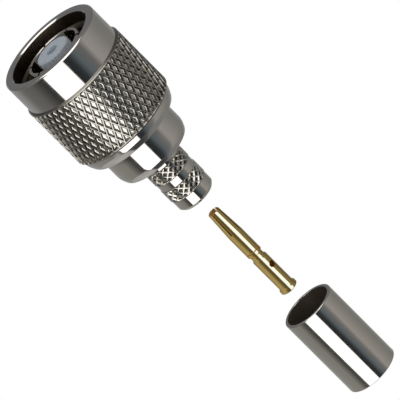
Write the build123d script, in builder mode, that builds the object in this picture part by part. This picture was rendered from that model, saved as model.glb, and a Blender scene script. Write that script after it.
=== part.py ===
from build123d import *
from math import cos, pi, sin
import os

# A coaxial cable plug for crimping, in millimetres, laid out as it is sold: the plug with its
# coupling nut, then the loose centre contact, then the loose crimp ferrule, all on the X axis.
# The mating end faces -X. X = 0 is the front of the seal ring, where a jack's barrel stops.

# Coupling nut
nut_length = 14.8
nut_front_band = 4.2
nut_band_diameter = 14.05
nut_rear_band = 1.7
nut_knurl_runout = 0.4
nut_knurl_crest = 14.62
nut_knurl_depth = 0.41
nut_knurl_pitch = 1.01
nut_knurl_count = 48
knurl_end_step = 0.02
nut_rear_shoulder = 13.9
nut_rear_diameter = 13.2
nut_edge_break = 0.22
lead_in_clearance = 0.145
lead_in_depth = 1.3
lead_in_edge = 0.28
thread_major = 11.11
thread_depth = 0.455
relief_clearance = 0.7
relief_front_margin = 0.6
land_setback = 0.15
nut_land_front = 1.2
nut_land_rear = 1.85
nut_rear_edge = 0.2

# Journal of the body inside the nut, and the split ring that holds the nut on it
journal_wall = 0.53
journal_clearance = 0.08
ring_thickness = 0.8
ring_side_clearance = 0.1
ring_stand = 0.4
ring_width = 0.75
ring_split = 1.4
ring_tip_clearance = 0.12
ring_groove_depth = 0.75
nut_end_gap = 0.2

# Seal ring
seal_thickness = 1.0
seal_inner_clearance = 0.05

# Outer contact: a slotted spring sleeve with a collar that is pushed into the body
sleeve_setback = 0.84
sleeve_outer = 8.04
sleeve_wall = 0.52
sleeve_edge = 0.15
sleeve_slots = 6
sleeve_slot_width = 0.35
sleeve_slot_length = 5.4
sleeve_slot_angle = -5
collar_step = 0.23
collar_setback = 0.1
collar_seat_depth = 1.0
lip_thickness = 0.7
fit_clearance = 0.02

# Insulator
insulator_setback = 0.6
insulator_nose = 4.72
insulator_shelf = 0.95
insulator_edge = 0.15
nose_web = 0.8
nose_hole = 1.64

# Body behind the nut
shoulder_diameter = 10.45
shoulder_length = 4.24
shoulder_front_edge = 0.15
shoulder_taper_length = 0.84
shoulder_taper_depth = 0.39
stem_length = 7.82
stem_wall = 0.71
stem_end_taper = 0.4
stem_end_depth = 0.33
stem_knurl_bands = 2
stem_knurl_rise = 0.09
stem_knurl_depth = 0.2
stem_knurl_pitch = 0.42
stem_knurl_count = 17
stem_knurl_runout = 0.14
stem_knurl_gap = 0.93
stem_knurl_front_margin = 1.2
stem_knurl_rear_margin = 1.77

# Centre contact
contact_gap = 2.9
contact_length = 14.1
socket_tip_wall = 0.14
socket_tip_round = 0.12
contact_diameter = 2.04
socket_taper_length = 4.1
socket_bore = 1.32
socket_bore_depth = 5.2
socket_slots = 4
socket_slot_width = 0.17
socket_slot_length = 3.7
socket_slot_angle = 32
score_from_tip = 6.9
score_width = 0.12
score_depth = 0.06
neck_from_tip = 7.6
neck_length = 0.95
neck_depth = 0.17
neck_taper = 0.2
flange_rise = 0.18
flange_length = 0.48
flange_edge = 0.08
pot_bore = 1.5
pot_depth = 4.7
inspection_hole = 0.85
inspection_from_floor = 0.52
inspection_angle = 144
contact_clearance = 0.04
contact_tip_clearance = 0.1
contact_sink = 0.3

# Crimp ferrule
ferrule_gap = 3.3
ferrule_length = 12.1
ferrule_outer = 7.2
ferrule_wall = 0.42
ferrule_edge = 0.08
braid_room = 0.41

# Diameters that follow from the outer contact outwards, to the journal, ring and thread
sleeve_inner = sleeve_outer - 2 * sleeve_wall
collar_diameter = sleeve_outer + 2 * collar_step
insulator_flange = collar_diameter - 2 * insulator_shelf
journal_diameter = collar_diameter + 2 * (fit_clearance + journal_wall)
ring_outer = journal_diameter + 2 * ring_stand
ring_groove_floor = journal_diameter - 2 * ring_groove_depth
relief_diameter = journal_diameter + 2 * relief_clearance
lead_in_diameter = thread_major + 2 * lead_in_clearance
thread_bore = thread_major - 2 * thread_depth
nut_knurl_pit = nut_knurl_crest - 2 * nut_knurl_depth

# Diameters that follow from the ferrule inwards, with room for the cable's braid
ferrule_inner = ferrule_outer - 2 * ferrule_wall
stem_knurl_crest = ferrule_inner - 2 * braid_room
stem_knurl_pit = stem_knurl_crest - 2 * stem_knurl_depth
stem_diameter = stem_knurl_crest - 2 * stem_knurl_rise
stem_bore = stem_diameter - 2 * stem_wall

# Diameters of the centre contact
socket_tip = socket_bore + 2 * socket_tip_wall
neck_diameter = contact_diameter - 2 * neck_depth
flange_diameter = contact_diameter + 2 * flange_rise

# Places along X, from the seal ring to the rear of the nut and then forward to its mouth
body_front = seal_thickness
land_front = body_front + land_setback
ring_room_front = land_front + nut_land_front
ring_room_rear = ring_room_front + ring_thickness + 2 * ring_side_clearance
nut_rear = ring_room_rear + nut_land_rear
nut_front = nut_rear - nut_length
knurl_front = nut_front + nut_front_band
knurl_rear = nut_rear - nut_rear_band
relief_front = -relief_front_margin
sleeve_tip = nut_front + sleeve_setback
collar_front = collar_setback
collar_rear = body_front + collar_seat_depth
insulator_tip = nut_front + insulator_setback

# Where the contact stops once it is pushed home, just inside the rear of the insulator
home_tip = insulator_tip + nose_web + contact_tip_clearance
home_rear = home_tip + contact_length
home_flange = home_rear - flange_length
insulator_rear = home_rear + contact_sink

# Places along X behind the nut, and how far the two loose pieces travel
shoulder_front = nut_rear + nut_end_gap
stem_front = shoulder_front + shoulder_length
stem_rear = stem_front + stem_length
contact_tip = stem_rear + contact_gap
contact_rear = contact_tip + contact_length
ferrule_front = contact_rear + ferrule_gap
contact_travel = contact_tip - home_tip
ferrule_travel = ferrule_front - stem_front


def knurled_blank(front, rear, runout, pitch, count, crest, pit, end):
    """A solid disc with a diamond knurl pressed into its rim.

    Ridge crossings and pits take turns on a net of even steps, along the axis and around it.
    Two sets of ridges run through the crossings, and every four of them frame one pit. A
    plain circle at each end lets the knurl fall to the turned bands beside it.
    """
    span = rear - front - 2 * runout
    steps = round(span / pitch)
    net = [front + runout + span * step / steps for step in range(steps + 1)]
    places = [front, *net, rear]
    last = len(places) - 1

    def corner(row, column):
        angle = pi * column / count
        if row in (0, last):
            radius = end / 2
        elif (row + column) % 2 == 0:
            radius = pit / 2
        else:
            radius = crest / 2
        return Vector(places[row], radius * cos(angle), radius * sin(angle))

    faces = []
    for row in range(last):
        for column in range(2 * count):
            low, high = corner(row, column), corner(row, column + 1)
            next_low, next_high = corner(row + 1, column), corner(row + 1, column + 1)
            if (row + column) % 2 == 0:
                halves = ((low, high, next_low), (next_high, next_low, high))
            else:
                halves = ((high, next_high, low), (next_low, low, next_high))
            for half in halves:
                faces.append(Face(Wire.make_polygon(half, close=True)))
    for row in (0, last):
        rim = [corner(row, column) for column in range(2 * count)]
        faces.append(Face(Wire.make_polygon(rim, close=True)))
    return Solid(Shell(faces))


# Coupling nut: smooth front band, diamond knurl, tapered rear band
nut_blank = knurled_blank(
    knurl_front,
    knurl_rear,
    nut_knurl_runout,
    nut_knurl_pitch,
    nut_knurl_count,
    nut_knurl_crest,
    nut_knurl_pit,
    nut_band_diameter - 2 * knurl_end_step,
)
with BuildPart() as coupling_nut:
    add(nut_blank)
    with BuildSketch(Plane.XY):
        with BuildLine():
            Polyline(
                (nut_front, 0),
                (nut_front, nut_band_diameter / 2 - nut_edge_break),
                (nut_front + nut_edge_break, nut_band_diameter / 2),
                (knurl_front, nut_band_diameter / 2),
                (knurl_front, 0),
                close=True,
            )
        make_face()
        with BuildLine():
            Polyline(
                (knurl_rear, 0),
                (knurl_rear, nut_rear_shoulder / 2),
                (nut_rear - nut_edge_break, nut_rear_diameter / 2),
                (nut_rear, nut_rear_diameter / 2 - nut_edge_break),
                (nut_rear, 0),
                close=True,
            )
        make_face()
    revolve(axis=Axis.X)
    with BuildSketch(Plane.XY):
        with BuildLine():
            land = journal_diameter / 2 + journal_clearance
            Polyline(
                (nut_front, 0),
                (nut_front, lead_in_diameter / 2 + lead_in_edge),
                (nut_front + lead_in_edge, lead_in_diameter / 2),
                (nut_front + lead_in_depth, lead_in_diameter / 2),
                (nut_front + lead_in_depth, thread_major / 2),
                (nut_front + lead_in_depth + thread_depth, thread_bore / 2),
                (relief_front, thread_bore / 2),
                (relief_front, relief_diameter / 2),
                (land_front, relief_diameter / 2),
                (land_front, land),
                (ring_room_front, land),
                (ring_room_front, ring_outer / 2 + ring_tip_clearance),
                (ring_room_rear, ring_outer / 2 + ring_tip_clearance),
                (ring_room_rear, land),
                (nut_rear - nut_rear_edge, land),
                (nut_rear, land + nut_rear_edge),
                (nut_rear, 0),
                close=True,
            )
        make_face()
    revolve(axis=Axis.X, mode=Mode.SUBTRACT)
coupling_nut.part.label = "coupling_nut"

# Body: journal with its ring groove, shoulder, and the crimp stem with two knurled bands.
# The turned outline drops to the bore where a knurled band stands in for it.
knurls_front = stem_front + stem_knurl_front_margin
knurls_rear = stem_rear - stem_knurl_rear_margin
knurls_length = knurls_rear - knurls_front - (stem_knurl_bands - 1) * stem_knurl_gap
stem_knurl_length = knurls_length / stem_knurl_bands
stem_knurl_fronts = [
    knurls_front + band * (stem_knurl_length + stem_knurl_gap) for band in range(stem_knurl_bands)
]
stem_blanks = [
    knurled_blank(
        front,
        front + stem_knurl_length,
        stem_knurl_runout,
        stem_knurl_pitch,
        stem_knurl_count,
        stem_knurl_crest,
        stem_knurl_pit,
        stem_diameter - 2 * knurl_end_step,
    )
    for front in stem_knurl_fronts
]
stem_outline = [
    point
    for front in stem_knurl_fronts
    for point in (
        (front, stem_diameter / 2),
        (front, stem_bore / 2),
        (front + stem_knurl_length, stem_bore / 2),
        (front + stem_knurl_length, stem_diameter / 2),
    )
]
with BuildPart() as plug_body:
    with BuildSketch(Plane.XY):
        with BuildLine():
            Polyline(
                (body_front, 0),
                (body_front, journal_diameter / 2),
                (ring_room_front, journal_diameter / 2),
                (ring_room_front, ring_groove_floor / 2),
                (ring_room_rear, ring_groove_floor / 2),
                (ring_room_rear, journal_diameter / 2),
                (shoulder_front, journal_diameter / 2),
                (shoulder_front, shoulder_diameter / 2 - shoulder_front_edge),
                (shoulder_front + shoulder_front_edge, shoulder_diameter / 2),
                (stem_front - shoulder_taper_length, shoulder_diameter / 2),
                (stem_front, shoulder_diameter / 2 - shoulder_taper_depth),
                (stem_front, stem_diameter / 2),
                *stem_outline,
                (stem_rear - stem_end_taper, stem_diameter / 2),
                (stem_rear, stem_diameter / 2 - stem_end_depth),
                (stem_rear, 0),
                close=True,
            )
        make_face()
    revolve(axis=Axis.X)
    add(stem_blanks)
    with BuildSketch(Plane.XY):
        with BuildLine():
            Polyline(
                (body_front, 0),
                (body_front, collar_diameter / 2 + fit_clearance),
                (collar_rear, collar_diameter / 2 + fit_clearance),
                (collar_rear, insulator_flange / 2 + fit_clearance),
                (insulator_rear, insulator_flange / 2 + fit_clearance),
                (insulator_rear, stem_bore / 2),
                (stem_rear, stem_bore / 2),
                (stem_rear, 0),
                close=True,
            )
        make_face()
    revolve(axis=Axis.X, mode=Mode.SUBTRACT)
plug_body.part.label = "plug_body"

# Outer contact: slotted sleeve, collar in the body, and an inner lip that traps the insulator
with BuildPart() as outer_contact:
    with BuildSketch(Plane.XY):
        with BuildLine():
            Polyline(
                (sleeve_tip, sleeve_inner / 2),
                (sleeve_tip, sleeve_outer / 2 - sleeve_edge),
                (sleeve_tip + sleeve_edge, sleeve_outer / 2),
                (collar_front, sleeve_outer / 2),
                (collar_front, collar_diameter / 2),
                (collar_rear, collar_diameter / 2),
                (collar_rear, insulator_nose / 2 + fit_clearance),
                (collar_rear - lip_thickness, insulator_nose / 2 + fit_clearance),
                (collar_rear - lip_thickness, sleeve_inner / 2),
                close=True,
            )
        make_face()
    revolve(axis=Axis.X)
    with BuildSketch(Plane.YZ.offset(sleeve_tip)):
        with PolarLocations((sleeve_inner + sleeve_outer) / 4, sleeve_slots, sleeve_slot_angle):
            Rectangle(sleeve_outer - sleeve_inner, sleeve_slot_width)
    extrude(amount=sleeve_slot_length, mode=Mode.SUBTRACT)
outer_contact.part.label = "outer_contact"

# Insulator: nose around the contact, flange in the body, bore stepped for the contact's flange
with BuildPart() as insulator:
    with BuildSketch(Plane.XY):
        with BuildLine():
            Polyline(
                (insulator_tip, 0),
                (insulator_tip, insulator_nose / 2 - insulator_edge),
                (insulator_tip + insulator_edge, insulator_nose / 2),
                (collar_rear, insulator_nose / 2),
                (collar_rear, insulator_flange / 2),
                (insulator_rear, insulator_flange / 2),
                (insulator_rear, 0),
                close=True,
            )
        make_face()
    revolve(axis=Axis.X)
    with BuildSketch(Plane.XY):
        with BuildLine():
            bore = contact_diameter / 2 + contact_clearance
            seat = flange_diameter / 2 + contact_clearance
            seat_front = home_flange - (seat - bore) - contact_clearance
            Polyline(
                (insulator_tip, 0),
                (insulator_tip, nose_hole / 2),
                (insulator_tip + nose_web, nose_hole / 2),
                (insulator_tip + nose_web, bore),
                (seat_front, bore),
                (seat_front + seat - bore, seat),
                (insulator_rear, seat),
                (insulator_rear, 0),
                close=True,
            )
        make_face()
    revolve(axis=Axis.X, mode=Mode.SUBTRACT)
insulator.part.label = "insulator"

# Seal ring against the front of the body, where the jack's barrel presses
with BuildPart() as seal_ring:
    with BuildSketch(Plane.YZ):
        Circle(journal_diameter / 2)
        Circle(collar_diameter / 2 + seal_inner_clearance, mode=Mode.SUBTRACT)
    extrude(amount=seal_thickness)
seal_ring.part.label = "seal_ring"

# Split ring, sprung out into the nut's groove
with BuildPart() as retaining_ring:
    with BuildSketch(Plane.YZ.offset(ring_room_front + ring_side_clearance)):
        Circle(ring_outer / 2)
        Circle(ring_outer / 2 - ring_width, mode=Mode.SUBTRACT)
        with Locations((0, ring_outer / 2)):
            Rectangle(ring_split, ring_outer, mode=Mode.SUBTRACT)
    extrude(amount=ring_thickness)
retaining_ring.part.label = "retaining_ring"

# Centre contact: sprung socket, neck, and a crimp pot with its inspection hole and flange
neck_front = contact_tip + neck_from_tip
neck_rear = neck_front + neck_length
score_front = contact_tip + score_from_tip
flange_front = contact_rear - flange_length
inspection_direction = Vector(0, cos(inspection_angle * pi / 180), sin(inspection_angle * pi / 180))
with BuildPart() as centre_contact:
    with BuildSketch(Plane.XY):
        with BuildLine():
            Polyline(
                (contact_tip, 0),
                (contact_tip, socket_tip / 2 - socket_tip_round),
                (contact_tip + socket_tip_round, socket_tip / 2),
                (contact_tip + socket_taper_length, contact_diameter / 2),
                (score_front, contact_diameter / 2),
                (score_front, contact_diameter / 2 - score_depth),
                (score_front + score_width, contact_diameter / 2 - score_depth),
                (score_front + score_width, contact_diameter / 2),
                (neck_front, contact_diameter / 2),
                (neck_front + neck_taper, neck_diameter / 2),
                (neck_rear - neck_taper, neck_diameter / 2),
                (neck_rear, contact_diameter / 2),
                (flange_front - flange_rise, contact_diameter / 2),
                (flange_front, flange_diameter / 2),
                (contact_rear - flange_edge, flange_diameter / 2),
                (contact_rear, flange_diameter / 2 - flange_edge),
                (contact_rear, 0),
                close=True,
            )
        make_face()
    revolve(axis=Axis.X)
    with BuildSketch(Plane.YZ.offset(contact_tip)):
        Circle(socket_bore / 2)
    extrude(amount=socket_bore_depth, mode=Mode.SUBTRACT)
    with BuildSketch(Plane.YZ.offset(contact_tip)):
        with PolarLocations(contact_diameter / 2, socket_slots, socket_slot_angle):
            Rectangle(contact_diameter, socket_slot_width)
    extrude(amount=socket_slot_length, mode=Mode.SUBTRACT)
    with BuildSketch(Plane.YZ.offset(contact_rear)):
        Circle(pot_bore / 2)
    extrude(amount=-pot_depth, mode=Mode.SUBTRACT)
    with BuildSketch(
        Plane(
            origin=(contact_rear - pot_depth + inspection_from_floor, 0, 0),
            x_dir=(1, 0, 0),
            z_dir=inspection_direction,
        )
    ):
        Circle(inspection_hole / 2)
    extrude(amount=contact_diameter, mode=Mode.SUBTRACT)
centre_contact.part.label = "centre_contact"

# Crimp ferrule: a plain thin tube
with BuildPart() as crimp_ferrule:
    with BuildSketch(Plane.YZ.offset(ferrule_front)):
        Circle(ferrule_outer / 2)
        Circle(ferrule_inner / 2, mode=Mode.SUBTRACT)
    extrude(amount=ferrule_length)
    chamfer(crimp_ferrule.edges().filter_by(GeomType.CIRCLE).group_by(SortBy.RADIUS)[-1], ferrule_edge)
crimp_ferrule.part.label = "crimp_ferrule"

os.makedirs("parts", exist_ok=True)
for piece in (
    coupling_nut,
    plug_body,
    outer_contact,
    insulator,
    seal_ring,
    retaining_ring,
    centre_contact,
    crimp_ferrule,
):
    export_step(piece.part, f"parts/{piece.part.label}.step")
    print(piece.part.label, round(piece.part.volume, 2), piece.part.bounding_box().size)
print("contact travel", round(contact_travel, 3), "ferrule travel", round(ferrule_travel, 3))
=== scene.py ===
# %% [markdown]
# # A knurled cable plug as smooth turned surfaces
#
# The real plug is a set of lathe parts: a coupling nut, a body with a crimp stem, a slotted
# contact sleeve, an insulator, a thin centre contact and a plain ferrule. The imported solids
# have flat facets, which polished metal shows at once, because its highlights break at every
# facet. Smooth shading would smear them, and a subdivision would melt the edges. So each visible
# piece is worked out again here as a fine grid of points on the same sizes, and stands for its
# solid.
#
# All lengths of the plug are written in millimetres, and those of the studio and the camera in
# metres. The plug's axis is X, its mouth faces -X, and an angle is measured around X from +Y
# towards +Z.

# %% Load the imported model
import math
import bpy
import numpy as np
from mathutils import Matrix


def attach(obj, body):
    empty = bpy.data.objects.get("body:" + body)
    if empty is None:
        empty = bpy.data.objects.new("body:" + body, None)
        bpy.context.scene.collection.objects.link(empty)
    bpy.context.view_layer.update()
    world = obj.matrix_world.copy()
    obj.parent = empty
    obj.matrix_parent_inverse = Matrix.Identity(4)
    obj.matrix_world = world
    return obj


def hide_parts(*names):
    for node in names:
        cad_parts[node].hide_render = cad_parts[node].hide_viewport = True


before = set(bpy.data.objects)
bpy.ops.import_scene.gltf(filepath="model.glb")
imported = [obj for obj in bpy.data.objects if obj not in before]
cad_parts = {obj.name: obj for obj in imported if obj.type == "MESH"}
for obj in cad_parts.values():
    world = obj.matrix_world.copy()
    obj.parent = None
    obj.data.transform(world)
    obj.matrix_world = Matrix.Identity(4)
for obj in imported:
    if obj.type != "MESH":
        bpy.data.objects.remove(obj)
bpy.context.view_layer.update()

MM = 0.001

# %% [markdown]
# ## Grids of points
#
# A turned part could be a curve with a Screw modifier, but a knurl or a thread has no place in
# it. Here every surface is a grid instead: its rows follow each other along an outline, and its
# columns go around the axis. numpy works out all points of a grid at once.

# %% Points and faces of a grid
def net(rows, columns, closed=False):
    """Quads between neighbouring rows and columns. The last column joins the first, and with
    closed the last row joins the first too. The order of the corners points the face outwards
    where rows run along +X on the outside of a wall."""
    row = np.arange(rows if closed else rows - 1)[:, None]
    column = np.arange(columns)[None, :]
    below, beside = (row + 1) % rows, (column + 1) % columns
    corners = [row * columns + column, row * columns + beside]
    corners += [below * columns + beside, below * columns + column]
    return np.stack(corners, -1)


def evenly(columns):
    """Angles of evenly spread columns: a full turn times the column's number over their count."""
    return 2 * np.pi * np.arange(columns) / columns


def turn(x, radius, angle):
    """Points at distance x along the axis, radius from it and angle around it."""
    x, radius, angle = np.broadcast_arrays(x, radius, angle)
    return np.stack([x, radius * np.cos(angle), radius * np.sin(angle)], -1)


print("a net of 3 rows and 4 columns has", net(3, 4).reshape(-1, 4).shape[0], "faces")

# %% [markdown]
# ## Welds
#
# The nut's skin is several grids that meet: a knurl, a thread, plain walls. Laid side by side
# they would shade with a seam and leave open edges. Merge by Distance could close them, but it
# forgets which grid a face came from, and each grid has its own finish. So the points of all
# grids are numbered together here, and points at the same place get one number.

# %% Weld the grids of one piece
WELD_DECIMALS = 5


def weld(parts):
    """Number the points of all grids together, give points at the same place one number, and
    drop what has shrunk to a line. Parts are pairs of points and a list of face arrays. Each
    array of faces comes back with the number of the part that it is from."""
    starts = np.cumsum([0] + [len(points) for points, _ in parts])
    points = np.concatenate([points for points, _ in parts])
    _, first, number = np.unique(
        np.round(points, WELD_DECIMALS), axis=0, return_index=True, return_inverse=True
    )
    number = number.ravel()
    kept = []
    for part, ((_, groups), start) in enumerate(zip(parts, starts)):
        for group in groups:
            face = number[np.asarray(group).reshape(-1, group.shape[-1]) + start]
            if face.shape[1] > 4:
                kept.append((face, part))
                continue
            whole = (face != np.roll(face, 1, axis=1)).all(axis=1)
            kept.append((face[whole], part))
            if face.shape[1] == 4:
                thin = face[~whole]
                halves = np.concatenate([thin[:, [0, 1, 2]], thin[:, [0, 2, 3]]])
                kept.append((halves[(halves != np.roll(halves, 1, axis=1)).all(axis=1)], part))
    return points[first], [(face, part) for face, part in kept if len(face)]


def measure(points, faces):
    """Volume by the divergence theorem, a sixth of the sum of a . (b x c) over a fan of
    triangles, and the number of edges that don't have exactly two faces."""
    volume, edges = 0.0, []
    for face, _ in faces:
        for k in range(1, face.shape[1] - 1):
            a, b, c = points[face[:, 0]], points[face[:, k]], points[face[:, k + 1]]
            volume += np.einsum("ij,ij->", a, np.cross(b, c)) / 6
        edges.append(np.stack([face, np.roll(face, -1, axis=1)], -1).reshape(-1, 2))
    _, uses = np.unique(np.sort(np.concatenate(edges), axis=1), axis=0, return_counts=True)
    return volume, int((uses != 2).sum())


two_rings = [(turn(0.0, 1.0, evenly(8)), [np.arange(8)[None, :]])] * 2
print("two equal rings of 8 points weld to", len(weld(two_rings)[0]), "points")

# %% [markdown]
# ## Meshes
#
# Plating follows every edge of the metal below it, so an edge is either crisp or has its own
# small rounding in the grid. The mesh is smooth everywhere except where faces meet at a wide
# angle. bmesh could build it face by face; foreach_set hands over whole arrays, which is much
# faster for 100,000 faces.

# %% Put a welded piece into a mesh
SMOOTH_DEGREES = 35


def make_piece(name, parts, body, finishes=None):
    """A mesh from the welded parts, in metres, smooth except where faces meet at more than
    the smooth angle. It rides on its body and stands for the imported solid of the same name.
    finishes gives the number of each part's material, where a piece has several."""
    points, faces = weld(parts)
    sizes = np.concatenate([np.full(len(face), face.shape[1]) for face, _ in faces])
    finishes = finishes or [0] * len(parts)
    finish = np.concatenate([np.full(len(face), finishes[part]) for face, part in faces])
    mesh = bpy.data.meshes.new(name + "_skin")
    mesh.vertices.add(len(points))
    mesh.vertices.foreach_set("co", (points * MM).astype(np.float32).ravel())
    mesh.loops.add(int(sizes.sum()))
    mesh.loops.foreach_set("vertex_index", np.concatenate([face.ravel() for face, _ in faces]))
    mesh.polygons.add(len(sizes))
    mesh.polygons.foreach_set("loop_start", np.concatenate([[0], np.cumsum(sizes)[:-1]]))
    mesh.polygons.foreach_set("use_smooth", np.ones(len(sizes), bool))
    mesh.polygons.foreach_set("material_index", finish.astype(np.int32))
    mesh.update(calc_edges=True)
    mesh.validate()
    mesh.set_sharp_from_angle(angle=math.radians(SMOOTH_DEGREES))
    piece = bpy.data.objects.new(name + "_skin", mesh)
    bpy.context.scene.collection.objects.link(piece)
    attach(piece, body)
    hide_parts(name)
    volume, loose = measure(points, faces)
    print(name, "triangles", int((sizes - 2).sum()), "mm3", round(volume, 2), "open", loose)
    return piece


print("pieces will be linked to", bpy.context.scene.collection.name)

# %% [markdown]
# ## Turned walls
#
# A lathe tool leaves straight walls, and tumbling or a brush breaks their edges. A Bevel modifier
# could do that with one width for all. Here an outline is a list of corners, each with its own
# small radius. That radius matters more than its size suggests: it is what catches the light as a
# bright line along every edge.

# %% Round the corners of an outline
SHORTER_SIDE_SHARE = 0.45
SAME_POINT = 1e-5
NOT_ZERO = 1e-9


def soften(corners, steps=3):
    """Points (x, radius) of a closed outline with corners (x, radius, edge radius). At a corner
    the outline leaves its line at edge radius * tan(half the turn) before the corner, or at a
    share of the shorter side if that is less, and follows a circle in steps."""
    corners = np.array(corners, float)
    here = corners[:, 0] + 1j * corners[:, 1]
    before, after = np.roll(here, 1), np.roll(here, -1)
    came, goes = (here - before) / abs(here - before), (after - here) / abs(after - here)
    bend = np.angle(goes / came)
    room = SHORTER_SIDE_SHARE * np.minimum(abs(here - before), abs(after - here))
    cut = np.minimum(corners[:, 2] * np.tan(abs(bend) / 2), room)
    radius = np.where(cut > 0, cut / np.maximum(np.tan(abs(bend) / 2), NOT_ZERO), 0)
    start = here - came * cut
    centre = start + 1j * np.sign(bend) * came * radius
    swing = np.exp(1j * bend[:, None] * np.linspace(0, 1, steps + 1))
    line = (centre[:, None] + (start - centre)[:, None] * swing).ravel()
    line = line[abs(line - np.roll(line, 1)) > SAME_POINT]
    return np.stack([line.real, line.imag], -1)


def lathe(outline, columns, closed=True):
    """The surface that an outline of (x, radius) sweeps when it is turned around X."""
    points = turn(outline[:, :1], outline[:, 1:], evenly(columns))
    return points.reshape(-1, 3), [net(len(outline), columns, closed)]


square = soften([(0, 1, 0.1), (1, 1, 0.1), (1, 0.5, 0), (0, 0.5, 0)])
print("a square outline with two soft edges has", len(square), "points")

# %% [markdown]
# ## Strips between fine and coarse
#
# The nut's knurl needs four times as many columns as its plain walls. All walls could have the
# knurl's columns, at four times the faces. A strip of fans joins the two instead, on a ring where
# both have the same radius, so nobody sees it.

# %% Join a fine ring of points to a coarse one
def gather(fine, coarse, many, few, fine_first=True):
    """A strip between two rings, given as (x, radius), where each coarse column meets several
    fine ones: a fan of triangles to the nearer coarse point, and one triangle between fans."""
    share = many // few
    ring = np.arange(many)
    column, inside = ring // share, ring % share
    near = many + (column + (inside >= share // 2)) % few
    fans = np.stack([ring, (ring + 1) % many, near], -1)
    middle = np.arange(few) * share + share // 2
    ties = np.stack([middle, many + (np.arange(few) + 1) % few, many + np.arange(few)], -1)
    faces = np.concatenate([fans, ties])
    points = [turn(*fine, evenly(many)), turn(*coarse, evenly(few))]
    return np.concatenate(points), [faces if fine_first else faces[:, ::-1]]


print("a strip from 8 to 2 columns has", len(gather((0, 1), (1, 1), 8, 2)[1][0]), "triangles")

# %% [markdown]
# ## Diamond knurl
#
# A knurl is pressed by two wheels with slanted teeth, so two sets of ridges cross and leave a
# pit in every diamond between them. A bump map could draw it, but the edge of the nut would stay
# smooth against the background. A grid can follow the ridges exactly if its cells have the
# diamond's own shape: then every ridge runs along the diagonals of the cells.

# %% Ridges over a grid
LAND_FALL = 0.015


def ridge_distances(place, columns, cells, phase):
    """How far row / cells plus or minus column / cells is from an even number, for the two sets
    of ridges: 0 on a ridge and 1 midway between two. The phase is one crossing's row and column."""
    along = ((place - phase[0]) / cells)[:, None]
    around = ((np.arange(columns) - phase[1]) / cells)[None, :]
    return [abs((along + sign * around + 1) % 2 - 1) for sign in (1, -1)]


def ridge_height(distance, cells, power):
    """A land one cell wide to each side, 1 in its middle and lower by LAND_FALL at its edges;
    from there the rest of the way to the pit's middle, raised to a power, so that the flanks
    are steep and the pits are bowls with level floors."""
    land = 1 / cells
    on_land = distance < land + 0.01 * land
    flank = ((1 - distance) / (1 - land)) ** power
    return np.where(on_land, 1 - LAND_FALL * (distance / land) ** 2, flank)


def cut_along_ridges(quads, distances):
    """Two triangles for each quad, cut along the diagonal that follows its nearer ridge. The
    nearer set is the one with the smaller sum of distances over the quad's corners."""
    sums = []
    for distance in distances:
        beside = np.roll(distance, -1, axis=1)
        sums.append(distance[:-1] + distance[1:] + beside[:-1] + beside[1:])
    nearer = (sums[0] < sums[1])[..., None, None]
    return np.where(
        nearer, quads[..., [[0, 1, 3], [1, 2, 3]]], quads[..., [[0, 1, 2], [0, 2, 3]]]
    )


print("ridge height at 0, 1/8 and 1/2", ridge_height(np.array([0, 0.125, 0.5]), 8, 6).round(3))

# %% A knurled band
def knurl(front, rear, rows, starts, cells, crest, pit, ends, power, bevel, phase=(0, 0)):
    """Radius = pit + (crest - pit) * the higher one of the two sets of ridges. Towards each end
    the pits fill up over two and a half rows, and a bevel cuts the band down to the end's
    circle. Two more rows at each end follow the bevel's edge."""
    fill_rows, row_behind = 2.5, 0.6
    place = np.arange(rows + 1.0)
    step = (rear - front) / rows
    bevel_rows = np.array([bevel, bevel + step * row_behind]) / step
    place = np.unique(np.concatenate([place, bevel_rows, rows - bevel_rows]))
    x = front + step * place
    columns = 2 * starts * cells
    distances = ridge_distances(place, columns, cells, phase)
    ridge = np.max([ridge_height(distance, cells, power) for distance in distances], axis=0)
    reach = np.minimum(x - front, rear - x)[:, None]
    ridge = np.maximum(ridge, 1 - np.clip((reach - bevel) / (fill_rows * step), 0, 1))
    circle = np.where(x < (front + rear) / 2, ends[0], ends[1])[:, None]
    radius = np.minimum(pit + (crest - pit) * ridge, circle + (crest - circle) * reach / bevel)
    points = turn(x[:, None], radius, evenly(columns))
    slanted = cut_along_ridges(net(len(x), columns), distances)
    return points.reshape(-1, 3), [slanted.reshape(-1, 3)]


knurl_front, knurl_rear, knurl_crest, knurl_pit = -5.4, 3.881, 7.31, 6.93
front_band, rear_band = 7.025, 7.005
nut_knurl = knurl(
    knurl_front, knurl_rear, rows=73, starts=48, cells=8, crest=knurl_crest, pit=knurl_pit,
    ends=(front_band, rear_band), power=6, bevel=0.285, phase=(5, 11),
)
print("nut knurl", len(nut_knurl[1][0]), "triangles")

# %% [markdown]
# ## Coupling thread
#
# The nut screws onto a jack with a fine inch thread, 28 turns to the inch. It could be cut with a
# Boolean of a helix, which is slow and leaves slivers. A thread is only a radius that depends on
# x and on the angle, so it is one more grid.

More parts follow.
